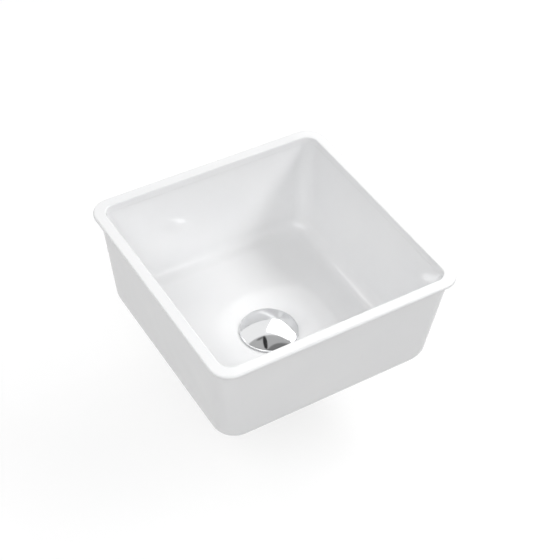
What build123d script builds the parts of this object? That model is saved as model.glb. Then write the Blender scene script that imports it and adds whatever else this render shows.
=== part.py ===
from build123d import *
import math
import os

# A square glazed basin that hangs by its flange in a worktop, with a push-to-open waste.
# Lengths are millimetres and angles are degrees.
# Z = 0 is the underside of the flange, on the basin's centre, and -Y is its front.

# Basin outline and flange
BASIN_WIDTH = 330.0
BASIN_LENGTH = 330.0
FLANGE_CORNER_R = 26.0
FLANGE_THICK = 5.0
FLANGE_TOP_EDGE_R = 2.0
FLANGE_LOWER_EDGE_R = 1.5
FLANGE_ROOT_R = 2.0

# Outer walls, each inset measured from the edge of the flange
OUTER_TOP_INSET = 7.5
OUTER_BASE_INSET = 18.4
OUTER_TOP_CORNER_R = 20.0
OUTER_BASE_CORNER_R = 28.0
OUTER_BASE_EDGE_R = 23.0

# Bowl
RIM_INSET = 14.2
RIM_EDGE_R = 1.8
BOWL_TOP_CORNER_R = 15.0
LIP_DEPTH = 10.2
LIP_DRAFT = 0.7
LIP_UNDERCUT = 1.1
LIP_FILLET_R = 0.45
FLOOR_INSET = 32.6
FLOOR_CORNER_R = 23.0
FLOOR_EDGE_R = 20.0
FLOOR_THICK = 11.0
BOWL_DEPTH = 134.0

# Drain, placed from the basin's centre
DRAIN_X = -8.6
DRAIN_Y = -15.9
FLOOR_FALL = 2.0
DISH_MARGIN = 4.0
RECESS_CLEARANCE = 0.8
RECESS_DEPTH = 3.5
RECESS_EDGE_R = 1.2
DRAIN_HOLE_R = 22.75
BOSS_R = 38.0
BOSS_DROP = 5.0
BOSS_FILLET_R = 4.0
BOSS_EDGE_R = 1.5

# Waste body: flange, shank with a 1 1/4 inch pipe thread, and the cross that holds the cartridge
WASTE_FLANGE_R = 32.0
WASTE_FLANGE_THICK = 2.0
WASTE_SEAT_DROP = 0.5
WASTE_SEAT_INNER_R = 22.5
WASTE_EDGE_R = 0.5
SHANK_R = 20.95
SHANK_BORE_R = 18.0
SHANK_LENGTH = 60.0
THROAT_DEPTH = 5.0
SOCKET_DEPTH = 14.0
SOCKET_R = 18.9
CROSS_ARMS = 3
CROSS_ARM_WIDTH = 3.2
CROSS_HEIGHT = 8.0
CROSS_DEPTH = 17.0
CROSS_HUB_WALL = 2.5

# Seals, washer and nut on the shank
UPPER_SEAL_THICK = 1.5
UPPER_SEAL_R = 31.0
SEAL_BORE_GAP = 0.35
LOWER_SEAL_R = 30.0
LOWER_SEAL_THICK = 6.0
LOWER_SEAL_NOSE = 3.0
LOWER_SEAL_NOSE_GAP = 0.4
LOWER_SEAL_TAPER = 1.2
WASHER_R = 29.0
WASHER_THICK = 1.6
NUT_ACROSS_FLATS = 52.0
NUT_THICK = 10.0
NUT_COLLAR_R = 28.5
NUT_COLLAR_THICK = 2.0
NUT_BORE_GAP = 0.1
NUT_CHAMFER = 1.2
HEXAGON = 6

# Tail for the trap
TAIL_R = 16.0
TAIL_BORE_R = 14.7
TAIL_FREE_LENGTH = 45.0
TAIL_COLLAR_GAP = 0.15
TAIL_GRIP_GAP = 0.3
TAIL_GRIP_ACROSS_FLATS = 41.0
TAIL_GRIP_SIDES = 8
TAIL_GRIP_THICK = 5.0
TAIL_END_CHAMFER = 0.6
TAIL_SEAL_THICK = 2.0
TAIL_SEAL_GAP = 0.3

# Cap over the waste
CAP_R = 37.4
CAP_WALL = 1.2
CAP_RISE = 8.2
CAP_EDGE_HEIGHT = 2.0
CAP_EDGE_R = 1.8
CAP_FLOOR_GAP = 1.0
CARRIER_GAP = 0.3
CARRIER_BOSS_R = 7.0
CARRIER_BOSS_LENGTH = 6.3
CARRIER_POCKET_INNER_R = 9.5
CARRIER_POCKET_OUTER_R = 20.0
CARRIER_POCKET_DEPTH = 3.0
CARRIER_RIBS = 6
CARRIER_RIB_WIDTH = 1.6
CAP_SEAL_R = 26.0
CAP_SEAL_WIDTH = 6.4
CAP_SEAL_BEAD = 3.0
CAP_SEAL_GROOVE_DEPTH = 1.5
CAP_SEAL_GAP = 0.25
CAP_SEAL_SIDE_GAP = 0.2

# Plunger with its barrel cam
LIFT = 9.0
STEM_R = 3.0
STEM_THREAD_LENGTH = 8.5
STEM_THREAD_GAP = 0.05
STEM_END_GAP = 0.5
BARREL_R = 4.5
TRACK_DEPTH = 1.2
TRACK_TURN = 45.0
TRACK_MARGIN = 2.4
TRACK_GAP = 0.2
STOP_GAP = 0.3
SPIGOT_R = 2.2
SPIGOT_LENGTH = 5.0
BARREL_CHAMFER = 0.4

# Cartridge that guides the plunger
RUNNING_FIT = 0.07
CARTRIDGE_TOP_GAP = 1.2
CARTRIDGE_NECK_R = 8.2
CARTRIDGE_HEX_ACROSS_FLATS = 17.0
CARTRIDGE_HEX_HEIGHT = 6.0
CARTRIDGE_THREAD_R = 7.95
CARTRIDGE_THREAD_GAP = 0.05
CARTRIDGE_THREAD_LENGTH = 16.0
CARTRIDGE_TUBE_R = 7.5
CARTRIDGE_WALL = 1.5
CARTRIDGE_LIP = 3.0
STEM_SEAL_WIRE_R = 0.75
STEM_SEAL_FIT = 0.06
STEM_SEAL_ROOM = 0.1
STEM_GUIDE = 1.4
PIN_R = 0.8
PIN_FIT = 0.02
CAM_RING_HEIGHT = 5.0
CAM_RING_END_PLAY = 0.15
CLIP_THICK = 0.8
CLIP_DEPTH = 0.45
CLIP_WIDTH = 1.6
CLIP_OPENING = 50.0
CLIP_FIT = 0.08
PLUG_THICK = 4.0
PLUG_SLOT_WIDTH = 1.2
PLUG_SLOT_DEPTH = 1.5
PLUG_THREAD_GAP = 0.05

# Return spring, as it lies with the cap closed
SPRING_R = 3.35
SPRING_WIRE_R = 0.45
SPRING_LENGTH = 9.6
SPRING_HALF_TURNS = 10
SPRING_CLOSED_HALF_TURNS = 2
SPRING_CLOSED_GAP = 0.45
SPRING_SEAT_GAP = 0.1
SPRING_SAMPLES = 12

# Heights over the basin
RIM_TOP_Z = FLANGE_THICK
FLOOR_Z = RIM_TOP_Z - BOWL_DEPTH
UNDERSIDE_Z = FLOOR_Z - FLOOR_THICK
DRAIN_Z = FLOOR_Z - FLOOR_FALL
LIP_Z = RIM_TOP_Z - LIP_DEPTH
DRAIN = Pos(DRAIN_X, DRAIN_Y, DRAIN_Z)

# Heights over the waste, from the basin's floor at the drain
SEAL_SEAT_Z = -RECESS_DEPTH
WASTE_SEAT_Z = SEAL_SEAT_Z + UPPER_SEAL_THICK
WASTE_TOP_Z = WASTE_SEAT_Z + WASTE_FLANGE_THICK
SHANK_END_Z = WASTE_SEAT_Z - SHANK_LENGTH
SOCKET_Z = SHANK_END_Z + SOCKET_DEPTH
CROSS_TOP_Z = WASTE_TOP_Z - CROSS_DEPTH
BOSS_FACE_Z = UNDERSIDE_Z - BOSS_DROP - DRAIN_Z
WASHER_Z = BOSS_FACE_Z - LOWER_SEAL_THICK
NUT_Z = WASHER_Z - WASHER_THICK
TAIL_TOP_Z = SOCKET_Z - TAIL_SEAL_THICK
TAIL_GRIP_Z = SHANK_END_Z - TAIL_GRIP_GAP
TAIL_END_Z = TAIL_GRIP_Z - TAIL_GRIP_THICK - TAIL_FREE_LENGTH
CAP_EDGE_Z = CAP_FLOOR_GAP
CAP_TOP_Z = CAP_EDGE_Z + CAP_RISE
CAP_CROWN = CAP_RISE - CAP_EDGE_HEIGHT
CAP_BALL_R = (CAP_R**2 + CAP_CROWN**2) / (2 * CAP_CROWN)
CAP_BALL_Z = CAP_TOP_Z - CAP_BALL_R
CARRIER_Z = CAP_EDGE_Z + CARRIER_GAP
CARRIER_BOSS_Z = CARRIER_Z - CARRIER_BOSS_LENGTH
STEM_TOP_Z = CARRIER_BOSS_Z + STEM_THREAD_LENGTH
CARTRIDGE_TOP_Z = CARRIER_BOSS_Z - CARTRIDGE_TOP_GAP
STEM_SEAL_ROOM_Z = CARTRIDGE_TOP_Z - CARTRIDGE_LIP
STEM_GUIDE_Z = STEM_SEAL_ROOM_Z - 2 * (STEM_SEAL_WIRE_R + STEM_SEAL_ROOM)
STEM_SEAL_R = STEM_R + STEM_SEAL_FIT + STEM_SEAL_WIRE_R
BARREL_STOP_Z = STEM_GUIDE_Z - STEM_GUIDE
BARREL_TOP_Z = BARREL_STOP_Z - STOP_GAP - LIFT
PIN_Z = BARREL_TOP_Z - TRACK_MARGIN
BARREL_END_Z = PIN_Z - LIFT - TRACK_MARGIN
CAM_RING_TOP_Z = PIN_Z + CAM_RING_HEIGHT / 2
CHAMBER_TOP_Z = CAM_RING_TOP_Z + CAM_RING_END_PLAY
CLIP_TOP_Z = CAM_RING_TOP_Z - CAM_RING_HEIGHT - CAM_RING_END_PLAY
PLUG_TOP_Z = BARREL_END_Z - SPRING_LENGTH - 2 * SPRING_SEAT_GAP
CARTRIDGE_END_Z = PLUG_TOP_Z - PLUG_THICK
CHAMBER_R = CARTRIDGE_TUBE_R - CARTRIDGE_WALL
CLIP_GROOVE_R = CHAMBER_R + CLIP_DEPTH
CLIP_END_Z = CLIP_TOP_Z - CLIP_THICK
NOTCHES = round(180 / TRACK_TURN)
HUB_BORE_R = CARTRIDGE_THREAD_R + CARTRIDGE_THREAD_GAP
HUB_R = HUB_BORE_R + CROSS_HUB_WALL

# How near counts as touching when an edge is picked by its place
TOUCH = 0.01


def outline(inset, z, corner_r):
    """Rounded rectangle that lies inset from the edge of the flange."""
    return Pos(0, 0, z) * RectangleRounded(BASIN_WIDTH - 2 * inset, BASIN_LENGTH - 2 * inset, corner_r)


def turned(*corners):
    """Solid turned about Z from the (radius, height) corners of its half section."""
    return revolve(make_face(Plane.XZ * Polyline(*corners, close=True)), axis=Axis.Z)


def ring(outer_r, inner_r, low_z, high_z):
    """Flat ring about Z between two heights."""
    return turned((inner_r, low_z), (outer_r, low_z), (outer_r, high_z), (inner_r, high_z))


def rod(radius, low_z, high_z):
    """Round bar on Z between two heights."""
    return Pos(0, 0, (low_z + high_z) / 2) * Cylinder(radius, high_z - low_z)


def edges_at(solid, z):
    """Edges of a solid that lie flat at one height."""
    return solid.edges().filter_by_position(Axis.Z, z, z)


def bowl_space():
    """Space inside the basin: the mouth within the rim's lip, and the sloping walls cut in under it."""
    mouth = loft(
        [
            outline(RIM_INSET, RIM_TOP_Z, BOWL_TOP_CORNER_R),
            outline(RIM_INSET + LIP_DRAFT, LIP_Z, BOWL_TOP_CORNER_R),
        ],
        ruled=True,
    )
    wall_inset = RIM_INSET + LIP_DRAFT - LIP_UNDERCUT
    walls = loft(
        [
            outline(wall_inset, LIP_Z, BOWL_TOP_CORNER_R + LIP_UNDERCUT),
            outline(FLOOR_INSET, FLOOR_Z, FLOOR_CORNER_R),
        ],
        ruled=True,
    )
    walls = fillet(edges_at(walls, FLOOR_Z), FLOOR_EDGE_R)
    space = mouth + walls
    return fillet(edges_at(space, LIP_Z), LIP_FILLET_R)


def drain_space():
    """Shallow dish that falls to the drain, the recess for the waste's flange, and the hole."""
    recess_r = WASTE_FLANGE_R + RECESS_CLEARANCE
    to_front = BASIN_LENGTH / 2 - FLOOR_INSET - FLOOR_EDGE_R - abs(DRAIN_Y)
    to_side = BASIN_WIDTH / 2 - FLOOR_INSET - FLOOR_EDGE_R - abs(DRAIN_X)
    dish_r = min(to_front, to_side) - DISH_MARGIN
    fall = TangentArc((dish_r, FLOOR_FALL), (recess_r, 0), tangent=(-1, 0))
    rest = Polyline(
        (recess_r, 0),
        (recess_r, SEAL_SEAT_Z),
        (0, SEAL_SEAT_Z),
        (0, FLOOR_FALL + DISH_MARGIN),
        (dish_r, FLOOR_FALL + DISH_MARGIN),
        (dish_r, FLOOR_FALL),
    )
    section = make_face([fall, rest])
    dish = revolve(Plane.XZ * section, axis=Axis.Z)
    hole = rod(DRAIN_HOLE_R, BOSS_FACE_Z, SEAL_SEAT_Z)
    return dish + hole


def circle_at(radius, z):
    """Test for an edge that is a whole circle of one radius, at one height."""
    def test(edge):
        return (
            edge.geom_type == GeomType.CIRCLE
            and math.isclose(edge.radius, radius, abs_tol=TOUCH)
            and math.isclose(edge.arc_center.Z, z, abs_tol=TOUCH)
        )
    return test


def inside_flange(inset, z):
    """Test for an edge at one height that lies at least an inset from the edge of the flange."""
    def test(edge):
        box = edge.bounding_box()
        from_side = BASIN_WIDTH / 2 - max(abs(box.min.X), abs(box.max.X))
        from_front = BASIN_LENGTH / 2 - max(abs(box.min.Y), abs(box.max.Y))
        level = abs(box.min.Z - z) < TOUCH and abs(box.max.Z - z) < TOUCH
        return level and min(from_side, from_front) > inset - TOUCH
    return test


def round_where(solid, test, radius):
    """Round the edges of a solid that pass a test."""
    return fillet(solid.edges().filter_by(test), radius)


def make_basin():
    """Glazed ceramic basin with its flange, tapered walls and the ground boss under the drain."""
    flange = extrude(outline(0, 0, FLANGE_CORNER_R), FLANGE_THICK)
    flange = fillet(edges_at(flange, RIM_TOP_Z), FLANGE_TOP_EDGE_R)
    flange = fillet(edges_at(flange, 0), FLANGE_LOWER_EDGE_R)
    body = loft(
        [
            outline(OUTER_TOP_INSET, 0, OUTER_TOP_CORNER_R),
            outline(OUTER_BASE_INSET, UNDERSIDE_Z, OUTER_BASE_CORNER_R),
        ],
        ruled=True,
    )
    body = fillet(edges_at(body, UNDERSIDE_Z), OUTER_BASE_EDGE_R)
    basin = flange + body + DRAIN * rod(BOSS_R, BOSS_FACE_Z, 0)
    basin = round_where(basin, circle_at(BOSS_R, UNDERSIDE_Z), BOSS_FILLET_R)
    basin = round_where(basin, circle_at(BOSS_R, UNDERSIDE_Z - BOSS_DROP), BOSS_EDGE_R)
    basin = round_where(basin, inside_flange(OUTER_TOP_INSET, 0), FLANGE_ROOT_R)
    basin = basin - bowl_space()
    basin = round_where(basin, inside_flange(RIM_INSET, RIM_TOP_Z), RIM_EDGE_R)
    basin = basin - DRAIN * drain_space()
    return round_where(basin, circle_at(WASTE_FLANGE_R + RECESS_CLEARANCE, DRAIN_Z), RECESS_EDGE_R)


def make_waste_body():
    """Flange with its dished seat, threaded shank and the cross that carries the cartridge."""
    seat_z = WASTE_TOP_Z - WASTE_SEAT_DROP
    throat = TangentArc(
        (SHANK_BORE_R, WASTE_TOP_Z - THROAT_DEPTH), (WASTE_SEAT_INNER_R, seat_z), tangent=(0, 1)
    )
    rest = Polyline(
        (WASTE_SEAT_INNER_R, seat_z),
        (WASTE_FLANGE_R - WASTE_EDGE_R, WASTE_TOP_Z),
        (WASTE_FLANGE_R, WASTE_TOP_Z - WASTE_EDGE_R),
        (WASTE_FLANGE_R, WASTE_SEAT_Z),
        (SHANK_R, WASTE_SEAT_Z),
        (SHANK_R, SHANK_END_Z),
        (SOCKET_R, SHANK_END_Z),
        (SOCKET_R, SOCKET_Z),
        (SHANK_BORE_R, SOCKET_Z),
        (SHANK_BORE_R, WASTE_TOP_Z - THROAT_DEPTH),
    )
    body = revolve(Plane.XZ * make_face([throat, rest]), axis=Axis.Z)
    arm_length = (SHANK_BORE_R + SHANK_R) / 2
    arm = Pos(arm_length / 2, 0, CROSS_TOP_Z - CROSS_HEIGHT / 2)
    arm = arm * Box(arm_length, CROSS_ARM_WIDTH, CROSS_HEIGHT)
    arms = [Rot(0, 0, 360 * turn / CROSS_ARMS) * arm for turn in range(CROSS_ARMS)]
    cross = rod(HUB_R, CROSS_TOP_Z - CROSS_HEIGHT, CROSS_TOP_Z) + arms
    return body + cross - rod(HUB_BORE_R, CROSS_TOP_Z - CROSS_HEIGHT, CROSS_TOP_Z)


def make_upper_seal():
    """Flat rubber ring between the waste's flange and the recess."""
    return ring(UPPER_SEAL_R, SHANK_R + SEAL_BORE_GAP, SEAL_SEAT_Z, WASTE_SEAT_Z)


def make_lower_seal():
    """Tapered rubber ring whose nose goes up into the drain hole."""
    bore = SHANK_R + SEAL_BORE_GAP
    nose_r = DRAIN_HOLE_R - LOWER_SEAL_NOSE_GAP
    return turned(
        (bore, WASHER_Z),
        (LOWER_SEAL_R, WASHER_Z),
        (LOWER_SEAL_R + LOWER_SEAL_TAPER, BOSS_FACE_Z),
        (nose_r, BOSS_FACE_Z),
        (nose_r - LOWER_SEAL_TAPER / 2, BOSS_FACE_Z + LOWER_SEAL_NOSE),
        (bore, BOSS_FACE_Z + LOWER_SEAL_NOSE),
    )


def make_slip_washer():
    """Plastic washer that lets the nut turn without dragging the rubber."""
    return ring(WASHER_R, SHANK_R + SEAL_BORE_GAP, NUT_Z, WASHER_Z)


def make_lock_nut():
    """Hexagon nut with a round collar, its corners chamfered at the lower end."""
    low_z = NUT_Z - NUT_THICK
    corner_r = NUT_ACROSS_FLATS / 2 / math.cos(math.pi / HEXAGON)
    hexagon = RegularPolygon(NUT_ACROSS_FLATS / 2, HEXAGON, major_radius=False)
    body = extrude(Pos(0, 0, low_z) * hexagon, NUT_THICK - NUT_COLLAR_THICK)
    chamfer_r = NUT_ACROSS_FLATS / 2
    envelope = turned(
        (0, low_z),
        (chamfer_r, low_z),
        (corner_r, low_z + NUT_CHAMFER),
        (corner_r, NUT_Z),
        (0, NUT_Z),
    )
    collar = rod(NUT_COLLAR_R, NUT_Z - NUT_COLLAR_THICK, NUT_Z)
    return (body & envelope) + collar - rod(SHANK_R + NUT_BORE_GAP, low_z, NUT_Z)


def make_tail_pipe():
    """Tail with a threaded collar, a grip ring with flats and a plain end for the trap."""
    collar_r = SOCKET_R - TAIL_COLLAR_GAP
    pipe = turned(
        (TAIL_BORE_R, TAIL_END_Z),
        (TAIL_R - TAIL_END_CHAMFER, TAIL_END_Z),
        (TAIL_R, TAIL_END_Z + TAIL_END_CHAMFER),
        (TAIL_R, TAIL_GRIP_Z),
        (collar_r, TAIL_GRIP_Z),
        (collar_r, TAIL_TOP_Z),
        (TAIL_BORE_R, TAIL_TOP_Z),
    )
    flats = RegularPolygon(TAIL_GRIP_ACROSS_FLATS / 2, TAIL_GRIP_SIDES, major_radius=False)
    grip = extrude(Pos(0, 0, TAIL_GRIP_Z - TAIL_GRIP_THICK) * flats, TAIL_GRIP_THICK)
    grip = chamfer(grip.edges().group_by(Axis.Z)[0], TAIL_END_CHAMFER)
    return pipe + grip - rod(TAIL_BORE_R, TAIL_END_Z, TAIL_TOP_Z)


def make_tail_seal():
    """Flat rubber ring between the tail's collar and the step in the shank."""
    return ring(SOCKET_R - TAIL_SEAL_GAP, TAIL_BORE_R + TAIL_SEAL_GAP, TAIL_TOP_Z, SOCKET_Z)


def domed(low_z, inward):
    """Round blank whose side and crown lie inward of the cap's own by a distance."""
    side_r = CAP_R - inward
    ball_r = CAP_BALL_R - inward
    side_angle = math.asin(side_r / ball_r)
    on_ball = [
        (ball_r * math.sin(angle), CAP_BALL_Z + ball_r * math.cos(angle))
        for angle in (side_angle, side_angle / 2, 0)
    ]
    crown = ThreePointArc(*on_ball)
    rest = Polyline(on_ball[-1], (0, low_z), (side_r, low_z), on_ball[0])
    return revolve(Plane.XZ * make_face([crown, rest]), axis=Axis.Z)


def make_cap_dome():
    """Pressed dome with a rounded edge, hollow underneath."""
    blank = domed(CAP_EDGE_Z, 0)
    blank = round_where(blank, circle_at(CAP_R, CAP_EDGE_Z + CAP_EDGE_HEIGHT), CAP_EDGE_R)
    return offset(blank, amount=-CAP_WALL, openings=blank.faces().sort_by(Axis.Z)[0])


def make_cap_carrier():
    """Moulded carrier under the dome: seal groove, ribbed pocket and the boss for the stem."""
    carrier = domed(CARRIER_Z, CAP_WALL + CARRIER_GAP)
    carrier += rod(CARRIER_BOSS_R, CARRIER_BOSS_Z, CARRIER_Z)
    groove_half = CAP_SEAL_WIDTH / 2 + CAP_SEAL_SIDE_GAP
    groove_top_z = CARRIER_Z + CAP_SEAL_GROOVE_DEPTH
    carrier -= ring(CAP_SEAL_R + groove_half, CAP_SEAL_R - groove_half, CARRIER_Z, groove_top_z)
    pocket_z = CARRIER_Z + CARRIER_POCKET_DEPTH
    pocket = ring(CARRIER_POCKET_OUTER_R, CARRIER_POCKET_INNER_R, CARRIER_Z, pocket_z)
    rib = Box(CARRIER_POCKET_OUTER_R, CARRIER_RIB_WIDTH, CARRIER_POCKET_DEPTH)
    rib = Pos(CARRIER_POCKET_OUTER_R / 2, 0, CARRIER_Z + CARRIER_POCKET_DEPTH / 2) * rib
    ribs = [Rot(0, 0, 360 * turn / CARRIER_RIBS) * rib for turn in range(CARRIER_RIBS)]
    carrier -= pocket - ribs
    return carrier - rod(STEM_R + STEM_THREAD_GAP, CARRIER_BOSS_Z, STEM_TOP_Z + STEM_END_GAP)


def seat_height(radius):
    """Height of the waste flange's dished seat at a radius."""
    across = WASTE_FLANGE_R - WASTE_EDGE_R - WASTE_SEAT_INNER_R
    return WASTE_TOP_Z - WASTE_SEAT_DROP * (WASTE_FLANGE_R - WASTE_EDGE_R - radius) / across


def make_cap_seal():
    """Rubber ring in the carrier's groove, with a narrow bead that faces the seat."""
    bead_half = CAP_SEAL_BEAD / 2
    bead_z = seat_height(CAP_SEAL_R + bead_half) + CAP_SEAL_GAP
    half = CAP_SEAL_WIDTH / 2
    top_z = CARRIER_Z + CAP_SEAL_GROOVE_DEPTH
    return turned(
        (CAP_SEAL_R - half, top_z),
        (CAP_SEAL_R - half, CARRIER_Z),
        (CAP_SEAL_R - bead_half, bead_z),
        (CAP_SEAL_R + bead_half, bead_z),
        (CAP_SEAL_R + half, CARRIER_Z),
        (CAP_SEAL_R + half, top_z),
    )


def radial_hole(radius, inner_r, outer_r, z):
    """Round bar that lies along X between two distances from the axis."""
    return Pos((inner_r + outer_r) / 2, 0, z) * Rot(0, 90, 0) * Cylinder(radius, outer_r - inner_r)


def cam_track():
    """Endless zigzag slot: every flank is a slot twisted about the stem from a notch to a pocket."""
    slot_r = PIN_R + TRACK_GAP
    lean = math.atan(math.radians(TRACK_TURN) * BARREL_R / LIFT)
    core_r = BARREL_R - TRACK_DEPTH
    clear_r = BARREL_R + TRACK_DEPTH
    mouth = Rectangle(clear_r - core_r, 2 * slot_r / math.cos(lean))
    mouth = Pos((core_r + clear_r) / 2, 0, PIN_Z) * mouth
    flanks = [
        Solid.extrude_linear_with_rotation(mouth.face(), (0, 0, PIN_Z), (0, 0, -LIFT), turn)
        for turn in (TRACK_TURN, -TRACK_TURN)
    ]
    notch = radial_hole(slot_r, core_r, clear_r, PIN_Z)
    pocket = Rot(0, 0, TRACK_TURN) * radial_hole(slot_r, core_r, clear_r, PIN_Z - LIFT)
    unit = notch + pocket + flanks
    return [Rot(0, 0, 360 * turn / NOTCHES) * unit for turn in range(NOTCHES)]


def make_plunger():
    """Stem, barrel with its cam track, and the spigot that centres the spring."""
    blank = turned(
        (0, STEM_TOP_Z),
        (STEM_R, STEM_TOP_Z),
        (STEM_R, BARREL_TOP_Z),
        (BARREL_R - BARREL_CHAMFER, BARREL_TOP_Z),
        (BARREL_R, BARREL_TOP_Z - BARREL_CHAMFER),
        (BARREL_R, BARREL_END_Z + BARREL_CHAMFER),
        (BARREL_R - BARREL_CHAMFER, BARREL_END_Z),
        (SPIGOT_R, BARREL_END_Z),
        (SPIGOT_R, BARREL_END_Z - SPIGOT_LENGTH),
        (0, BARREL_END_Z - SPIGOT_LENGTH),
    )
    return blank - cam_track()


def make_cam_ring():
    """Ring that the track turns, drilled for its two pins."""
    outer_r = CHAMBER_R - RUNNING_FIT
    body = ring(outer_r, BARREL_R + RUNNING_FIT, CAM_RING_TOP_Z - CAM_RING_HEIGHT, CAM_RING_TOP_Z)
    hole = radial_hole(PIN_R + PIN_FIT, BARREL_R, CHAMBER_R, PIN_Z)
    return body - hole - Rot(0, 0, 180) * hole


def make_cam_pins():
    """Two pins across from each other, from the ring's outside into the track."""
    tip_r = BARREL_R - TRACK_DEPTH + TRACK_GAP
    pin = radial_hole(PIN_R, tip_r, CHAMBER_R - 2 * RUNNING_FIT, PIN_Z)
    return Compound([pin.solid(), (Rot(0, 0, 180) * pin).solid()])


def make_cartridge_housing():
    """Housing with a neck, a hexagon that seats on the cross, a thread and stepped bores."""
    stem_bore = STEM_R + RUNNING_FIT
    seal_bore = STEM_SEAL_R + STEM_SEAL_WIRE_R + STEM_SEAL_ROOM
    barrel_bore = BARREL_R + RUNNING_FIT
    thread_end_z = CROSS_TOP_Z - CARTRIDGE_THREAD_LENGTH
    housing = turned(
        (stem_bore, CARTRIDGE_TOP_Z),
        (CARTRIDGE_NECK_R - BARREL_CHAMFER, CARTRIDGE_TOP_Z),
        (CARTRIDGE_NECK_R, CARTRIDGE_TOP_Z - BARREL_CHAMFER),
        (CARTRIDGE_NECK_R, CROSS_TOP_Z),
        (CARTRIDGE_THREAD_R, CROSS_TOP_Z),
        (CARTRIDGE_THREAD_R, thread_end_z),
        (CARTRIDGE_TUBE_R, thread_end_z),
        (CARTRIDGE_TUBE_R, CARTRIDGE_END_Z),
        (CHAMBER_R, CARTRIDGE_END_Z),
        (CHAMBER_R, CLIP_END_Z),
        (CLIP_GROOVE_R, CLIP_END_Z),
        (CLIP_GROOVE_R, CLIP_TOP_Z),
        (CHAMBER_R, CLIP_TOP_Z),
        (CHAMBER_R, CHAMBER_TOP_Z),
        (barrel_bore, CHAMBER_TOP_Z),
        (barrel_bore, BARREL_STOP_Z),
        (stem_bore, BARREL_STOP_Z),
        (stem_bore, STEM_GUIDE_Z),
        (seal_bore, STEM_GUIDE_Z),
        (seal_bore, STEM_SEAL_ROOM_Z),
        (stem_bore, STEM_SEAL_ROOM_Z),
    )
    hexagon = RegularPolygon(CARTRIDGE_HEX_ACROSS_FLATS / 2, HEXAGON, major_radius=False)
    nut = extrude(Pos(0, 0, CROSS_TOP_Z) * hexagon, CARTRIDGE_HEX_HEIGHT)
    return housing + (nut - rod(CARTRIDGE_THREAD_R, CROSS_TOP_Z, CROSS_TOP_Z + CARTRIDGE_HEX_HEIGHT))


def make_stem_seal():
    """O-ring that wipes the stem."""
    z = (STEM_SEAL_ROOM_Z + STEM_GUIDE_Z) / 2
    return Pos(0, 0, z) * Torus(STEM_SEAL_R, STEM_SEAL_WIRE_R)


def make_ring_clip():
    """Open spring clip in the groove under the cam ring."""
    outer_r = CLIP_GROOVE_R - CLIP_FIT
    low_z = CLIP_END_Z + CLIP_FIT
    high_z = CLIP_TOP_Z - CLIP_FIT
    inner_r = outer_r - CLIP_WIDTH
    corners = [(inner_r, low_z), (outer_r, low_z), (outer_r, high_z), (inner_r, high_z)]
    section = make_face(Plane.XZ * Polyline(*corners, close=True))
    return revolve(section, axis=Axis.Z, revolution_arc=360 - CLIP_OPENING)


def make_end_plug():
    """Slotted plug that closes the cartridge under the spring."""
    plug = rod(CHAMBER_R - PLUG_THREAD_GAP, CARTRIDGE_END_Z, PLUG_TOP_Z)
    slot_z = CARTRIDGE_END_Z + PLUG_SLOT_DEPTH / 2
    return plug - Pos(0, 0, slot_z) * Box(2 * CHAMBER_R, PLUG_SLOT_WIDTH, PLUG_SLOT_DEPTH)


def spring_path():
    """Coil of half turns, each a flat arc that leans so that it meets the next one smoothly."""
    wire = 2 * SPRING_WIRE_R
    closed_step = (wire + SPRING_CLOSED_GAP) / 2
    open_turns = SPRING_HALF_TURNS - 2 * SPRING_CLOSED_HALF_TURNS
    climb = SPRING_LENGTH - wire - 2 * SPRING_CLOSED_HALF_TURNS * closed_step
    steps = [closed_step] * SPRING_CLOSED_HALF_TURNS
    steps = steps + [climb / open_turns] * open_turns + steps
    z = PLUG_TOP_Z + SPRING_SEAT_GAP + SPRING_WIRE_R
    side = 1
    arcs = []
    for step in steps:
        start = (side * SPRING_R, 0, z)
        middle = (0, side * math.hypot(SPRING_R, step / 2), z + step / 2)
        end = (-side * SPRING_R, 0, z + step)
        arcs.append(ThreePointArc(start, middle, end))
        z += step
        side = -side
    return arcs


def least_gap(arcs):
    """Least gap between the turns of a coil, measured on points along its centre line."""
    points = [arc.position_at(step / SPRING_SAMPLES) for arc in arcs for step in range(SPRING_SAMPLES)]
    apart = [
        (points[first] - points[second]).length
        for first in range(len(points))
        for second in range(first + SPRING_SAMPLES, len(points))
    ]
    return min(apart) - 2 * SPRING_WIRE_R


def make_return_spring():
    """Coil spring that lifts the plunger."""
    arcs = spring_path()
    print("return spring: least gap between turns", round(least_gap(arcs), 2), "mm")
    wire = Wire(arcs)
    section = Plane(origin=wire.position_at(0), z_dir=wire.tangent_at(0)) * Circle(SPRING_WIRE_R)
    return sweep(section, path=wire)


def main():
    """Write every piece of the basin to its own file."""
    on_waste = {
        "waste_body": make_waste_body,
        "upper_seal": make_upper_seal,
        "lower_seal": make_lower_seal,
        "slip_washer": make_slip_washer,
        "lock_nut": make_lock_nut,
        "tail_pipe": make_tail_pipe,
        "tail_seal": make_tail_seal,
        "cap_dome": make_cap_dome,
        "cap_carrier": make_cap_carrier,
        "cap_seal": make_cap_seal,
        "plunger": make_plunger,
        "cam_ring": make_cam_ring,
        "cam_pins": make_cam_pins,
        "cartridge_housing": make_cartridge_housing,
        "stem_seal": make_stem_seal,
        "ring_clip": make_ring_clip,
        "end_plug": make_end_plug,
        "return_spring": make_return_spring,
    }
    os.makedirs("parts", exist_ok=True)
    export_step(make_basin(), "parts/basin.step")
    for name, make in on_waste.items():
        export_step(DRAIN * make(), f"parts/{name}.step")


if __name__ == "__main__":
    main()
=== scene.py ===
import math

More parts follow.
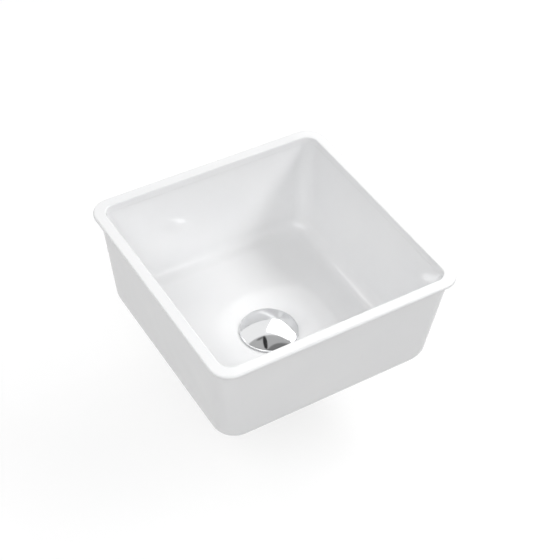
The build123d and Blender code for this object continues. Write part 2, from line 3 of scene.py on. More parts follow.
import bpy
import numpy as np
from mathutils import Matrix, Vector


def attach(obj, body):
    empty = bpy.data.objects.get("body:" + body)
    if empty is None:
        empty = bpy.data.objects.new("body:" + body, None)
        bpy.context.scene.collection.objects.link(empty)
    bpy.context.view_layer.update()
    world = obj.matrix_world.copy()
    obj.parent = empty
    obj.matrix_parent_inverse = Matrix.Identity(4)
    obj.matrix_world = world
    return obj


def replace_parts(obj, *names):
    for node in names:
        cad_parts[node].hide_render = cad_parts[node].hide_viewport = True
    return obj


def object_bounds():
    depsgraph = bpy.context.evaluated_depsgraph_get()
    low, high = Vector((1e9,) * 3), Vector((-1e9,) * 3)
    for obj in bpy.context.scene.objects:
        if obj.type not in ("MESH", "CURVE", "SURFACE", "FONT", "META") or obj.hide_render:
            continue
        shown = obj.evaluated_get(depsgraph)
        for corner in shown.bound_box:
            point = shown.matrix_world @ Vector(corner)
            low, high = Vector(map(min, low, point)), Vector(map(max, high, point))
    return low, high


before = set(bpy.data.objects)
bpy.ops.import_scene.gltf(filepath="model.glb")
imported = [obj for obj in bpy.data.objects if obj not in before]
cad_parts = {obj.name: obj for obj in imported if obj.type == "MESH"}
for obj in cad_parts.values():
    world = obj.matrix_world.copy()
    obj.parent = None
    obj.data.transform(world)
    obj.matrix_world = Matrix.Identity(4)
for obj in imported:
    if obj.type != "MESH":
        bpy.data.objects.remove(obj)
cad_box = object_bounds()

# Shapes are worked out in millimetres and put into the meshes in metres.
MM = 0.001
SIDE = 330.0
# Heights over the flange's underside.
RIM_TOP_Z = 5.0
LIP_Z = -5.2
FLOOR_Z = -129.0
RECESS_Z = -134.5
UNDERSIDE_Z = -140.0
BOSS_Z = -145.0
# The dish sinks from the floor to the waste, whose axis and top are at the drain.
DRAIN = (-8.6, -15.9, -131.0)
DISH_R = 92.5
DISH_BEND_R = 892.0
HOLE_R = 22.75
RECESS_R = 32.8
BOSS_R = 38.0
# Heights from here on are over the waste's top.
WASTE_R = 32.0
SHANK_R = 20.95
SHANK_END_Z = -62.0
SHANK_BORE_R = 18.0
SOCKET_R = 18.9
SOCKET_Z = -48.0
THROAT_R = 4.5
THREAD_PITCH = 2.309
THREAD_DEPTH = 1.4
CROSS_TOP_Z = -17.0
CROSS_END_Z = -25.0
LOOSE_BORE_R = 21.3
BOSS_FACE_Z = -14.0
WASHER_TOP_Z = -20.0
NUT_TOP_Z = -21.6
NUT_END_Z = -31.6
NUT_HALF_FLATS = 26.0
TAIL_END_Z = -112.3
CAP_R = 37.4
CAP_BALL_R = 115.9
CAP_BALL_Z = -106.7
CAP_SHEET = 1.2
CAP_EDGE_Z = 1.0
# A row of a many-sided outline that reaches this far between its flats stays round.
ROUND = 40.0


def place_camera():
    """Camera at the angle, distance and slight roll that the photo was taken from."""
    turn, rise, roll = (math.radians(angle) for angle in (-33.615, 44.337, 3.116))
    back = np.array([math.sin(turn) * math.cos(rise), -math.cos(turn) * math.cos(rise), math.sin(rise)])
    right = np.array([math.cos(turn), math.sin(turn), 0.0])
    up = np.cross(back, right)
    across = right * math.cos(roll) + up * math.sin(roll)
    upward = up * math.cos(roll) - right * math.sin(roll)
    aim, distance = np.array([-0.0257, -0.0607, 0.005]), 1.559
    place = aim + distance * back
    lens = bpy.data.cameras.new("camera")
    lens.lens = 86.5
    lens.sensor_width = 36.0
    camera = bpy.data.objects.new("camera", lens)
    camera.matrix_world = Matrix(
        [[across[k], upward[k], back[k], place[k]] for k in range(3)] + [[0, 0, 0, 1]]
    )
    bpy.context.scene.collection.objects.link(camera)
    bpy.context.scene.camera = camera


def rounded(corners):
    """Line through corner points, each turned into an arc of its own radius.

    A corner is (across, height, extra, radius, steps). The arc touches both sides at radius over
    the tangent of half the angle between them, and the extra column runs evenly along each side.
    """
    corners = [np.array(corner, float) for corner in corners]
    line = []
    for k, corner in enumerate(corners):
        place, radius, steps = corner[:3], corner[3], int(corner[4])
        if radius == 0:
            line.append(place)
            continue
        before, after = corners[k - 1][:3] - place, corners[(k + 1) % len(corners)][:3] - place
        before_length, after_length = np.hypot(*before[:2]), np.hypot(*after[:2])
        one, other = before[:2] / before_length, after[:2] / after_length
        half = math.acos(np.clip(one @ other, -1, 1)) / 2
        reach = radius / math.tan(half)
        first, last = place + before * reach / before_length, place + after * reach / after_length
        middle = (one + other) / np.hypot(*(one + other))
        centre = place[:2] + middle * radius / math.sin(half)
        start = math.atan2(*(first[:2] - centre)[::-1])
        sweep = math.atan2(*(last[:2] - centre)[::-1]) - start
        sweep = (sweep + math.pi) % (2 * math.pi) - math.pi
        share = np.linspace(0, 1, steps + 1)
        angle = start + sweep * share
        arc = centre + radius * np.stack([np.cos(angle), np.sin(angle)], 1)
        extra = first[2] + (last[2] - first[2]) * share
        line.extend(np.column_stack([arc, extra]))
    return np.array(line)


def divided(line, longest, margin=0.3, closed=False):
    """Line whose long runs are divided evenly, with a point a margin in from each end."""
    ends = np.vstack([line, line[:1]]) if closed else line
    points = []
    for first, last in zip(ends[:-1], ends[1:]):
        points.append(first)
        length = np.hypot(*(last - first)[:2])
        if length > 4 * margin:
            count = max(1, math.ceil(length / longest))
            inner = np.linspace(margin / length, 1 - margin / length, count + 1)
            points.extend(first + (last - first) * share for share in inner)
    if not closed:
        points.append(ends[-1])
    return np.array(points)


def skin(name, rings, body, finish, loop=True, crease=35):
    """Mesh over a stack of rings, each point joined to the next one round and the next one up.

    A looped stack joins its last ring to its first. Otherwise a fan closes each end ring at its
    mean. Faces are turned over where the volume, a third of the sum of each corner's place
    dotted with its face's area, comes out negative.
    """
    rows, around = rings.shape[:2]
    places = rings.reshape(-1, 3)
    index = np.arange(rows * around).reshape(rows, around)
    low = index if loop else index[:-1]
    high = np.roll(index, -1, 0) if loop else index[1:]
    quads = np.stack([low, np.roll(low, -1, 1), np.roll(high, -1, 1), high], -1).reshape(-1, 4)
    faces = quads.tolist()
    if not loop:
        places = np.vstack([places, rings[0].mean(0), rings[-1].mean(0)])
        for ring, hub, turn in ((index[0], rows * around, 1), (index[-1], rows * around + 1, -1)):
            fan = np.stack([np.full(around, hub), np.roll(ring, -turn), ring], -1)
            faces += fan.tolist()
    a, b, c, d = (places[quads[:, k]] for k in range(4))
    middle = places.mean(0)
    volume = np.einsum("ij,ij->", a - middle, np.cross(b - middle, c - middle))
    volume += np.einsum("ij,ij->", a - middle, np.cross(c - middle, d - middle))
    if volume < 0:
        faces = [face[::-1] for face in faces]
    mesh = bpy.data.meshes.new(name)
    mesh.from_pydata((places * MM).tolist(), [], faces)
    mesh.shade_smooth()
    mesh.set_sharp_from_angle(angle=math.radians(crease))
    mesh.materials.append(finish)
    piece = bpy.data.objects.new(name, mesh)
    bpy.context.scene.collection.objects.link(piece)
    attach(piece, body)
    return piece


def turned(line, around=160):
    """Rings about the drain's axis: a point (radius, height) goes round as radius times (cos, sin)."""
    angle = 2 * math.pi * np.arange(around) / around
    radius, height = line[:, 0, None], line[:, 1, None]
    x, y = radius * np.cos(angle), radius * np.sin(angle)
    return np.stack([x, y, np.broadcast_to(height, x.shape)], -1) + np.array(DRAIN)


def flatted(line, flats, around=192):
    """Rings about the drain's axis whose reach is the lesser of a round and a many-sided one.

    A row is (radius, height, half the distance across the flats). A flat's reach at an angle is
    half the distance across over the cosine of the angle from the middle of the flat.
    """
    angle = 2 * math.pi * np.arange(around) / around
    step = 2 * math.pi / flats
    from_middle = np.mod(angle, step) - step / 2
    reach = np.minimum(line[:, 0, None], line[:, 2, None] / np.cos(from_middle))
    x, y = reach * np.cos(angle), reach * np.sin(angle)
    return np.stack([x, y, np.broadcast_to(line[:, 1, None], x.shape)], -1) + np.array(DRAIN)


def square_rings(stations, along=22, corner_steps=20):
    """Rounded squares about the basin's centre, one for each station (inset, height, centre inset).

    A point of a ring is the square of the corners' centres at some share along its side, plus the
    corner's radius in the point's direction, and the radius is the centres' inset less the inset.
    """
    signs = np.array([[1, 1], [-1, 1], [-1, -1], [1, -1]], float)
    centres, directions = [], []
    for k in range(4):
        angle = math.pi / 2 * (k + np.linspace(0, 1, corner_steps + 1))
        centres.append(np.repeat(signs[k:k + 1], corner_steps + 1, 0))
        directions.append(np.stack([np.cos(angle), np.sin(angle)], 1))
        share = (np.arange(1, along) / along)[:, None]
        centres.append(signs[k] * (1 - share) + signs[(k + 1) % 4] * share)
        directions.append(np.repeat(directions[-1][-1:], along - 1, 0))
    centres, directions = np.vstack(centres), np.vstack(directions)
    radius = (stations[:, 2] - stations[:, 0])[:, None, None]
    flat = (SIDE / 2 - stations[:, 2])[:, None, None] * centres + radius * directions
    height = np.broadcast_to(stations[:, 1, None, None], flat.shape[:2] + (1,))
    return np.concatenate([flat, height], -1)


def round_rings(line, guide):
    """Circles about the drain whose points lie in the directions of a guide ring's points."""
    angle = np.arctan2(guide[:, 1] - DRAIN[1], guide[:, 0] - DRAIN[0])
    x = DRAIN[0] + line[:, 0, None] * np.cos(angle)
    y = DRAIN[1] + line[:, 0, None] * np.sin(angle)
    return np.stack([x, y, np.broadcast_to(line[:, 1, None], x.shape)], -1)


def between(first, last, count):
    """Rings that run evenly from one ring to another, both left out."""
    share = (np.arange(1, count + 1) / (count + 1))[:, None, None]
    return first * (1 - share) + last * share


def make_basin(glaze):
    """One closed skin: out of the drain hole, over the dish, up the bowl, over the rim and back under.

    The dish sinks below the floor by the bend's radius less the root of that radius squared less
    the squared distance in from the dish's edge.
    """
    bowl_and_outside = divided(rounded([
        (56.0, FLOOR_Z, 58.0, 0, 0),
        (32.6, FLOOR_Z, 55.6, 20.0, 16),
        (13.8, LIP_Z, 29.9, 0.45, 4),
        (14.9, LIP_Z, 29.9, 0.45, 5),
        (14.2, RIM_TOP_Z, 29.2, 1.8, 8),
        (0.0, RIM_TOP_Z, 26.0, 2.0, 8),
        (0.0, 0.0, 26.0, 1.5, 6),
        (7.5, 0.0, 27.5, 2.0, 6),
        (18.4, UNDERSIDE_Z, 46.4, 23.0, 18),
        (60.0, UNDERSIDE_Z, 62.0, 0, 0),
    ]), 9.0)
    squares = square_rings(bowl_and_outside)
    dish_radius = np.linspace(36.0, DISH_R, 14)
    dish_drop = DISH_BEND_R - np.sqrt(DISH_BEND_R**2 - (DISH_R - dish_radius)**2)
    dish = [(radius, FLOOR_Z - drop, 0, 0, 0) for radius, drop in zip(dish_radius, dish_drop)]
    up_to_dish = divided(rounded([
        (HOLE_R, BOSS_Z, 0, 0, 0),
        (HOLE_R, RECESS_Z, 0, 0.4, 2),
        (RECESS_R, RECESS_Z, 0, 0.3, 2),
        (RECESS_R, -131.05, 0, 1.2, 6),
        *dish,
    ]), 4.0)[1:]
    boss = divided(rounded([
        (46.0, UNDERSIDE_Z, 0, 0, 0),
        (BOSS_R, UNDERSIDE_Z, 0, 4.0, 8),
        (BOSS_R, BOSS_Z, 0, 1.5, 6),
        (HOLE_R, BOSS_Z, 0, 0.4, 3),
        (HOLE_R, RECESS_Z, 0, 0, 0),
    ]), 4.0)[:-1]
    inner = round_rings(up_to_dish, squares[0])
    under = round_rings(boss, squares[0])
    floor = between(inner[-1], squares[0], 3)
    underside = between(squares[-1], under[0], 3)
    rings = np.concatenate([inner, floor, squares, underside, under])
    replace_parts(skin("basin_skin", rings, "basin", glaze, crease=60), "basin")


def screw_rings(heights, crest, depth, low, high, around=120):
    """Rings of a right-hand thread with rounded crests and roots.

    The radius is the crest less the depth times half of one minus the cosine of the turns from
    the start, height over pitch less angle over a full turn, and it fades out at both ends.
    """
    angle = 2 * math.pi * np.arange(around) / around
    turns = heights[:, None] / THREAD_PITCH - angle / (2 * math.pi)
    fade = np.clip(np.minimum(heights - low, high - heights) / THREAD_PITCH, 0, 1)[:, None]
    radius = crest - depth * fade * (0.5 - 0.5 * np.cos(2 * math.pi * turns))
    x, y = radius * np.cos(angle), radius * np.sin(angle)
    return np.stack([x, y, np.broadcast_to(heights[:, None], x.shape)], -1) + np.array(DRAIN)


def make_waste(chrome):
    """Flange with its dished seat, the shank with its pipe thread, and the cross in the bore."""
    throat_top = SHANK_BORE_R + THROAT_R
    throat = [
        (throat_top - THROAT_R * math.cos(angle), -5.0 + THROAT_R * math.sin(angle), 0, 0, 0)
        for angle in np.linspace(0, 1.57, 9)[1:-1]
    ]
    inside = divided(rounded([
        (SOCKET_R, SHANK_END_Z, 0, 0, 0),
        (SOCKET_R, SOCKET_Z, 0, 0, 0),
        (SHANK_BORE_R, SOCKET_Z, 0, 0, 0),
        (SHANK_BORE_R, -5.0, 0, 0, 0),
        *throat,
        (throat_top, -0.5, 0, 0, 0),
        (31.6, 0.0, 0, 0.5, 4),
        (WASTE_R, -2.0, 0, 0.3, 3),
        (SHANK_R, -2.0, 0, 0, 0),
    ]), 6.0)
    heights = np.arange(-2.2, SHANK_END_Z + 0.1, -THREAD_PITCH / 10)
    shank = screw_rings(heights, SHANK_R, THREAD_DEPTH, SHANK_END_Z + 0.3, -3.0)
    end = turned(np.array([[20.2, SHANK_END_Z, 0]]), 120)
    rings = np.concatenate([turned(inside, 120), shank, end])
    body = skin("waste_skin", rings, "basin", chrome, crease=50)
    hub = divided(rounded([
        (8.0, CROSS_END_Z, 0, 0, 0),
        (8.0, CROSS_TOP_Z, 0, 0.4, 3),
        (10.5, CROSS_TOP_Z, 0, 0.4, 3),
        (10.5, CROSS_END_Z, 0, 0.4, 3),
    ]), 4.0, closed=True)
    skin("waste_hub", turned(hub, 96), "basin", chrome)
    arm = rounded([
        (-1.6, CROSS_END_Z, 0, 0.5, 3),
        (1.6, CROSS_END_Z, 0, 0.5, 3),
        (1.6, CROSS_TOP_Z, 0, 0.5, 3),
        (-1.6, CROSS_TOP_Z, 0, 0.5, 3),
    ])
    for turn in (0, 120, 240):
        out = np.array([math.cos(math.radians(turn)), math.sin(math.radians(turn)), 0])
        side = np.array([-out[1], out[0], 0])
        section = arm[:, :1] * side + arm[:, 1:2] * np.array([0, 0, 1])
        reach = np.array([9.0, 10.0, 14.0, 17.5, 18.6])[:, None, None] * out
        rings = section + reach + np.array(DRAIN)
        skin(f"waste_arm_{turn}", rings, "basin", chrome, loop=False)
    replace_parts(body, "waste_body")


def make_under_basin(brass, rubber, nylon, chrome):
    """Seal, washer, nut and tail, as they are tightened up under the basin."""
    seal = divided(rounded([
        (LOOSE_BORE_R, WASHER_TOP_Z, 0, 0.3, 3),
        (30.0, WASHER_TOP_Z, 0, 0.8, 5),
        (31.2, BOSS_FACE_Z, 0, 0.8, 5),
        (22.35, BOSS_FACE_Z, 0, 0, 0),
        (21.75, -11.0, 0, 0.2, 2),
        (LOOSE_BORE_R, -11.0, 0, 0.2, 2),
    ]), 3.0, closed=True)
    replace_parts(skin("lower_seal_skin", turned(seal), "basin", rubber), "lower_seal")
    washer = divided(rounded([
        (LOOSE_BORE_R, NUT_TOP_Z, 0, 0.3, 3),
        (29.0, NUT_TOP_Z, 0, 0.4, 4),
        (29.0, WASHER_TOP_Z, 0, 0.4, 4),
        (LOOSE_BORE_R, WASHER_TOP_Z, 0, 0.3, 3),
    ]), 3.0, closed=True)
    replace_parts(skin("slip_washer_skin", turned(washer), "basin", nylon), "slip_washer")
    chamfer = [
        (NUT_HALF_FLATS + 4.1 * share, NUT_END_Z + 0.1 + 1.2 * share, NUT_HALF_FLATS)
        for share in np.linspace(0.05, 1, 9)
    ]
    nut = np.array([
        (21.05, NUT_END_Z, ROUND),
        (25.6, NUT_END_Z, ROUND),
        (26.0, NUT_END_Z + 0.1, ROUND),
        *chamfer,
        (31.0, -29.9, NUT_HALF_FLATS),
        (31.0, -25.0, NUT_HALF_FLATS),
        (31.0, -23.9, NUT_HALF_FLATS),
        (30.6, -23.6, 25.8),
        (28.5, -23.6, 28.5),
        (28.5, -22.0, ROUND),
        (28.2, -21.65, ROUND),
        (21.05, NUT_TOP_Z, ROUND),
    ])
    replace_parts(skin("lock_nut_skin", flatted(nut, 6), "basin", brass, crease=25), "lock_nut")
    tail = np.array([
        (14.7, TAIL_END_Z, ROUND),
        (15.5, TAIL_END_Z, ROUND),
        (16.0, -111.7, ROUND),
        (16.0, -90.0, ROUND),
        (16.0, -68.2, ROUND),
        (16.3, -67.5, ROUND),
        (20.0, -67.3, 19.9),
        (22.0, -66.7, 20.5),
        (23.0, -66.2, 20.5),
        (23.0, -62.9, 20.5),
        (22.0, -62.3, 20.3),
        (18.75, -62.3, ROUND),
        (18.75, -50.0, ROUND),
        (14.7, -50.0, ROUND),
    ])
    pipe = skin("tail_skin", flatted(tail, 8), "basin", chrome, crease=25)
    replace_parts(pipe, "tail_pipe")


def make_cap(chrome, rubber):
    """Domed cap pressed from sheet, and the seal that its carrier holds.

    A point of the dome's face or back is at its ball's radius times (sine, cosine) of the angle
    from the axis, over the ball's centre.
    """
    back_r = CAP_BALL_R - CAP_SHEET
    face = [
        (CAP_BALL_R * math.sin(angle), CAP_BALL_Z + CAP_BALL_R * math.cos(angle), 0, 0, 0)
        for angle in np.linspace(0.002, 0.300, 30)
    ]
    back = [
        (back_r * math.sin(angle), CAP_BALL_Z + back_r * math.cos(angle), 0, 0, 0)
        for angle in np.linspace(0.295, 0.002, 20)
    ]
    line = rounded([
        *face,
        (CAP_R, 3.0, 0, 1.8, 10),
        (CAP_R, CAP_EDGE_Z, 0, 0.35, 4),
        (CAP_R - CAP_SHEET, CAP_EDGE_Z, 0, 0.35, 4),
        (CAP_R - CAP_SHEET, 1.9, 0, 0.5, 4),
        *back,
    ])
    dome = skin("cap_skin", turned(line, 224), "cap", chrome, loop=False)
    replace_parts(dome, "cap_dome")
    seal = divided(rounded([
        (22.8, 2.8, 0, 0.2, 2),
        (22.8, 1.3, 0, 0.4, 3),
        (24.5, 0.2, 0, 0.5, 4),
        (27.5, 0.2, 0, 0.5, 4),
        (29.2, 1.3, 0, 0.4, 3),
        (29.2, 2.8, 0, 0.2, 2),
    ]), 2.0, closed=True)
    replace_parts(skin("cap_seal_skin", turned(seal), "cap", rubber), "cap_seal")


def new_finish(name):
    """Material with its shader and the object's own coordinates, in metres."""
    finish = bpy.data.materials.new(name)
    finish.use_nodes = True
    nodes = finish.node_tree.nodes
    shader = nodes["Principled BSDF"]
    place = nodes.new("ShaderNodeTexCoord").outputs["Object"]
    return finish, shader, place


def grain(shader, place, scale, detail=3.0, stretch=(1, 1, 1)):
    """Noise over the object's coordinates, drawn out along an axis where the stretch is small."""
    tree = shader.id_data
    mapping = tree.nodes.new("ShaderNodeMapping")
    mapping.inputs["Scale"].default_value = stretch
    tree.links.new(place, mapping.inputs["Vector"])
    noise = tree.nodes.new("ShaderNodeTexNoise")
    noise.inputs["Scale"].default_value = scale
    noise.inputs["Detail"].default_value = detail
    tree.links.new(mapping.outputs["Vector"], noise.inputs["Vector"])
    return noise.outputs["Fac"]


def ranged(shader, factor, low, high, to_low, to_high, easing="LINEAR"):
    """Factor stretched from one span to another and held at the ends."""
    tree = shader.id_data
    node = tree.nodes.new("ShaderNodeMapRange")
    node.interpolation_type = easing
    for socket, value in (("From Min", low), ("From Max", high), ("To Min", to_low), ("To Max", to_high)):
        node.inputs[socket].default_value = value
    tree.links.new(factor, node.inputs["Value"])
    return node.outputs["Result"]


def blended(shader, factor, first, second):
    """Colour between two, by a factor."""
    tree = shader.id_data
    node = tree.nodes.new("ShaderNodeMix")
    node.data_type = "RGBA"
    for socket, colour in ((6, first), (7, second)):
        if isinstance(colour, bpy.types.NodeSocket):
            tree.links.new(colour, node.inputs[socket])
        else:
            node.inputs[socket].default_value = (*colour, 1.0)
    tree.links.new(factor, node.inputs[0])
    return node.outputs[2]


def relief(shader, heights):
    """Bumps laid one over another, each a (height, distance in metres)."""
    tree = shader.id_data
    last = None
    for height, distance in heights:
        bump = tree.nodes.new("ShaderNodeBump")
        bump.inputs["Distance"].default_value = distance
        tree.links.new(height, bump.inputs["Height"])
        if last:
            tree.links.new(last, bump.inputs["Normal"])
        last = bump.outputs["Normal"]
    tree.links.new(last, shader.inputs["Normal"])


def glazed_ceramic():
    """White glaze with a faint roll to it, and the bare ground clay on the face under the drain."""
    finish, shader, place = new_finish("white glaze")
    link = shader.id_data.links.new
    cloud = ranged(shader, grain(shader, place, 9.0), 0.35, 0.65, 0.0, 1.0)
    white = blended(shader, cloud, (0.865, 0.868, 0.875), (0.885, 0.887, 0.89))
    height = shader.id_data.nodes.new("ShaderNodeSeparateXYZ")
    link(place, height.inputs["Vector"])
    bare = ranged(shader, height.outputs["Z"], -0.1449, -0.1444, 1.0, 0.0)
    clay = blended(shader, grain(shader, place, 600.0), (0.74, 0.70, 0.64), (0.80, 0.77, 0.72))
    link(blended(shader, bare, white, clay), shader.inputs["Base Color"])
    gloss = ranged(shader, grain(shader, place, 60.0), 0.3, 0.7, 0.05, 0.09)
    rough = shader.id_data.nodes.new("ShaderNodeMath")
    rough.operation = "MAXIMUM"
    link(gloss, rough.inputs[0])
    link(ranged(shader, bare, 0.0, 1.0, 0.0, 0.8), rough.inputs[1])
    link(rough.outputs["Value"], shader.inputs["Roughness"])
    roll = grain(shader, place, 22.0, 1.0)
    peel = grain(shader, place, 420.0, 2.0)
    relief(shader, [(roll, 0.0003), (peel, 0.000012)])
    return finish


def chromed(name, dark, light):
    """Chrome plate between two tones, with the haze of a wiped surface."""
    finish, shader, place = new_finish(name)
    link = shader.id_data.links.new
    shader.inputs["Metallic"].default_value = 1.0
    tint = ranged(shader, grain(shader, place, 40.0), 0.3, 0.7, 0.0, 1.0)
    link(blended(shader, tint, dark, light), shader.inputs["Base Color"])
    haze = grain(shader, place, 130.0, 5.0)
    link(ranged(shader, haze, 0.35, 0.75, 0.035, 0.10), shader.inputs["Roughness"])
    relief(shader, [(grain(shader, place, 90.0, 1.0), 0.00002)])
    return finish


def machined_brass():
    """Brass with the fine rings of turning and a slight tarnish."""
    finish, shader, place = new_finish("turned brass")
    link = shader.id_data.links.new
    shader.inputs["Metallic"].default_value = 1.0
    stain = ranged(shader, grain(shader, place, 120.0, 5.0), 0.35, 0.7, 0.0, 1.0)
    link(blended(shader, stain, (0.72, 0.55, 0.27), (0.58, 0.42, 0.19)), shader.inputs["Base Color"])
    rings = grain(shader, place, 900.0, 2.0, stretch=(0.03, 0.03, 3.0))
    link(ranged(shader, rings, 0.3, 0.7, 0.18, 0.38), shader.inputs["Roughness"])
    relief(shader, [(rings, 0.00003)])
    return finish


def soft_rubber():
    """Black moulded rubber with a fine matt skin and a pale bloom."""
    finish, shader, place = new_finish("moulded rubber")
    link = shader.id_data.links.new
    bloom = ranged(shader, grain(shader, place, 160.0, 5.0), 0.4, 0.8, 0.0, 1.0)
    link(blended(shader, bloom, (0.022, 0.022, 0.024), (0.06, 0.06, 0.062)), shader.inputs["Base Color"])
    link(ranged(shader, bloom, 0.0, 1.0, 0.55, 0.8), shader.inputs["Roughness"])
    relief(shader, [(grain(shader, place, 2600.0, 2.0), 0.00003)])
    return finish


def moulded(name, dark, light, low_gloss, high_gloss, texture):
    """Moulded plastic: two close tones, a roughness between two and a fine texture."""
    finish, shader, place = new_finish(name)
    link = shader.id_data.links.new
    tone = ranged(shader, grain(shader, place, 70.0, 3.0), 0.3, 0.7, 0.0, 1.0)
    link(blended(shader, tone, dark, light), shader.inputs["Base Color"])
    wear = grain(shader, place, 500.0)
    link(ranged(shader, wear, 0.3, 0.7, low_gloss, high_gloss), shader.inputs["Roughness"])
    relief(shader, [(grain(shader, place, 1800.0, 2.0), texture)])
    return finish


def drawn_steel(name, tone, low_gloss, high_gloss):
    """Stainless steel with the fine lines of drawing or grinding."""
    finish, shader, place = new_finish(name)
    link = shader.id_data.links.new
    shader.inputs["Metallic"].default_value = 1.0
    lines = grain(shader, place, 1500.0, 3.0, stretch=(1.0, 1.0, 0.1))
    link(blended(shader, lines, tone, tuple(0.8 * part for part in tone)), shader.inputs["Base Color"])
    link(ranged(shader, lines, 0.3, 0.7, low_gloss, high_gloss), shader.inputs["Roughness"])
    relief(shader, [(lines, 0.00001)])
    return finish


def cover(nodes, finish):
    """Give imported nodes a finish."""
    for node in nodes:
        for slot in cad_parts[node].material_slots:
            slot.material = finish


def shown(shader):
    """One for the rays that show a surface: from the camera, off metal and glaze, and through glass."""
    tree = shader.id_data
    path = tree.nodes.new("ShaderNodeLightPath")
    total = path.outputs["Is Camera Ray"]
    for name in ("Is Glossy Ray", "Is Transmission Ray"):
        either = tree.nodes.new("ShaderNodeMath")
        either.operation = "MAXIMUM"
        tree.links.new(total, either.inputs[0])
        tree.links.new(path.outputs[name], either.inputs[1])
        total = either.outputs["Value"]
    return total


def dimmed(shader, strength, measure, low, high, to_low, to_high):
    """Strength times a measure that is eased from one span to another and held at the ends."""
    tree = shader.id_data
    both = tree.nodes.new("ShaderNodeMath")
    both.operation = "MULTIPLY"
    tree.links.new(strength, both.inputs[0])
    share = ranged(shader, measure, low, high, to_low, to_high, easing="SMOOTHSTEP")
    tree.links.new(share, both.inputs[1])
    return both.outputs["Value"]


def lay_floor():
    """Pale floor under the tail, white where it is seen, which keeps the basin's soft shadow.

    Its glow rises with the distance from the middle, out where the lamps no longer reach.
    """
    gap, half = 0.0002, 6.0
    low = cad_box[0][2] - gap
    corners = [(-half, -half, low), (half, -half, low), (half, half, low), (-half, half, low)]
    mesh = bpy.data.meshes.new("floor")
    mesh.from_pydata(corners, [], [(0, 1, 2, 3)])
    finish, shader, place = new_finish("pale floor")
    tree = shader.id_data
    from_middle = tree.nodes.new("ShaderNodeVectorMath")
    from_middle.operation = "LENGTH"
    tree.links.new(place, from_middle.inputs[0])
    shader.inputs["Base Color"].default_value = (0.36, 0.36, 0.36, 1.0)
    shader.inputs["Roughness"].default_value = 0.9
    shader.inputs["Specular IOR Level"].default_value = 0.1
    shader.inputs["Emission Color"].default_value = (0.69, 0.69, 0.69, 1.0)
    near, far, rise = 0.9, 3.0, 1.45
    glow = dimmed(shader, shown(shader), from_middle.outputs["Value"], near, far, 1.0, rise)
    tree.links.new(glow, shader.inputs["Emission Strength"])
    mesh.materials.append(finish)
    floor = bpy.data.objects.new("floor", mesh)
    bpy.context.scene.collection.objects.link(floor)


def toward(turn, rise):
    """Direction at an angle from the +X side towards the back, and at a height above the level."""
    turn, rise = math.radians(turn), math.radians(rise)
    return np.array([math.cos(turn) * math.cos(rise), math.sin(turn) * math.cos(rise), math.sin(rise)])


def hang_softbox(name, turn, rise, lean, width, height, radiance):
    """Flat lamp in a direction, turned to the bowl and leaned over, its size given in degrees.

    A side is twice the distance times the tangent of half its angle, and the watts are radiance
    times pi times area.
    """
    distance = 2.4
    lamp = bpy.data.lights.new(name, "AREA")
    lamp.shape = "RECTANGLE"
    lamp.size, lamp.size_y = (2 * distance * math.tan(math.radians(angle / 2)) for angle in (width, height))
    lamp.energy = radiance * math.pi * lamp.size * lamp.size_y
    away = toward(turn, rise)
    level = np.cross((0.0, 0.0, 1.0), away)
    level /= np.linalg.norm(level)
    upward = np.cross(away, level)
    right = level * math.cos(math.radians(lean)) + upward * math.sin(math.radians(lean))
    up = np.cross(away, right)
    holder = bpy.data.objects.new(name, lamp)
    holder.matrix_world = Matrix(
        [[right[k], up[k], away[k], distance * away[k]] for k in range(3)] + [[0, 0, 0, 1]]
    )
    holder.visible_camera = False
    bpy.context.scene.collection.objects.link(holder)


def facing(shader, direction, middle):
    """Cosine of the angle between each direction and a middle one."""
    tree = shader.id_data
    product = tree.nodes.new("ShaderNodeVectorMath")
    product.operation = "DOT_PRODUCT"
    tree.links.new(direction, product.inputs[0])
    product.inputs[1].default_value = middle
    return product.outputs["Value"]


def off_middle(shader, direction, middle, turn, reach):
    """Distance from the middle of a long turned oval, seen from above, that is one on its edge."""
    tree = shader.id_data
    placed = tree.nodes.new("ShaderNodeMapping")
    placed.vector_type = "TEXTURE"
    tree.links.new(direction, placed.inputs["Vector"])
    placed.inputs["Location"].default_value = (*middle, 0.0)
    placed.inputs["Rotation"].default_value = (0.0, 0.0, math.radians(turn))
    placed.inputs["Scale"].default_value = (*reach, 100.0)
    away = tree.nodes.new("ShaderNodeVectorMath")
    away.operation = "LENGTH"
    tree.links.new(placed.outputs["Vector"], away.inputs[0])
    return away.outputs["Value"]


def whitened(shader, strength, share):
    """Strength moved towards one, which is white, by a share."""
    tree = shader.id_data
    node = tree.nodes.new("ShaderNodeMix")
    tree.links.new(share, node.inputs[0])
    tree.links.new(strength, node.inputs[2])
    node.inputs[3].default_value = 1.0
    return node.outputs[0]


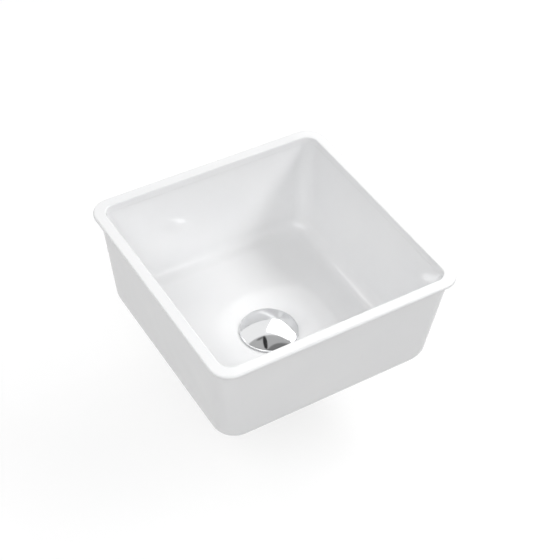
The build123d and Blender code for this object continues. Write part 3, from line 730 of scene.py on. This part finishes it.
def paint_room():
    """White room that lights the bowl from behind, with a dim part overhead and a dark stand.

    Metal and glaze show the same white as the camera does, but for the dim part, which has two
    steps, and the stand and its arm.
    """
    world = bpy.data.worlds.new("studio")
    bpy.context.scene.world = world
    world.use_nodes = True
    background = world.node_tree.nodes["Background"]
    direction = world.node_tree.nodes.new("ShaderNodeTexCoord").outputs["Generated"]
    behind = facing(background, direction, toward(60.0, 0.0))
    strength = ranged(background, behind, 0.0, 0.5, 0.08, 0.87, easing="SMOOTHSTEP")
    strength = whitened(background, strength, shown(background))
    for middle, edge, inside_edge, level in (
        (toward(-90.0, 78.0), 0.76, 0.79, 0.48),
        (toward(-45.0, 69.0), 0.905, 0.925, 0.43),
    ):
        overhead = facing(background, direction, middle)
        strength = dimmed(background, strength, overhead, edge, inside_edge, 1.0, level)
    for middle, turn, reach, level in (
        ((0.11, 0.27), 65.0, (0.17, 0.04), 0.08),
        ((0.10, 0.41), 0.0, (0.09, 0.025), 0.40),
    ):
        stand = off_middle(background, direction, middle, turn, reach)
        strength = dimmed(background, strength, stand, 0.8, 1.2, level, 1.0)
    link = world.node_tree.links.new
    camera_ray = world.node_tree.nodes.new("ShaderNodeLightPath").outputs["Is Camera Ray"]
    link(whitened(background, strength, camera_ray), background.inputs["Strength"])
    background.inputs["Color"].default_value = (1.0, 1.0, 1.0, 1.0)


def hang_softboxes():
    """Long key along the right side, a card behind it, a fill, and small lamps low down and behind."""
    hang_softbox("key_softbox", -20.0, 43.5, 17.0, 64.0, 15.0, 5.6)
    hang_softbox("side_softbox", 38.0, 43.0, 0.0, 28.0, 29.0, 1.1)
    hang_softbox("back_softbox", 126.0, 44.0, 0.0, 12.0, 16.0, 2.7)
    hang_softbox("fill_softbox", -148.0, 49.0, 0.0, 64.0, 26.0, 2.85)
    hang_softbox("front_softbox", -90.0, 24.0, 0.0, 44.0, 14.0, 2.4)
    hang_softbox("low_softbox", -138.0, -3.0, 0.0, 40.0, 5.0, 9.0)


bpy.context.scene.view_settings.view_transform = "Standard"
place_camera()
glaze, brass, rubber = glazed_ceramic(), machined_brass(), soft_rubber()
cap_chrome = chromed("polished chrome", (0.80, 0.805, 0.815), (0.83, 0.835, 0.84))
waste_chrome = chromed("waste chrome", (0.56, 0.565, 0.575), (0.62, 0.625, 0.635))
nylon = moulded("natural nylon", (0.66, 0.66, 0.61), (0.74, 0.74, 0.70), 0.35, 0.5, 0.00001)
carrier = moulded("black carrier plastic", (0.018, 0.018, 0.02), (0.035, 0.035, 0.037), 0.38, 0.55, 0.00002)
acetal = moulded("white acetal", (0.74, 0.73, 0.69), (0.80, 0.79, 0.76), 0.22, 0.34, 0.000005)
pin_steel = drawn_steel("ground pin steel", (0.62, 0.62, 0.63), 0.12, 0.28)
spring_steel = drawn_steel("drawn spring wire", (0.55, 0.55, 0.56), 0.2, 0.4)
cover(["cap_carrier"], carrier)
cover(["plunger", "cartridge_housing", "end_plug"], brass)
cover(["cam_ring"], acetal)
cover(["cam_pins"], pin_steel)
cover(["ring_clip", "return_spring"], spring_steel)
cover(["stem_seal", "upper_seal", "tail_seal"], rubber)
make_basin(glaze)
make_waste(waste_chrome)
make_under_basin(brass, rubber, nylon, waste_chrome)
make_cap(cap_chrome, rubber)
lay_floor()
paint_room()
hang_softboxes()
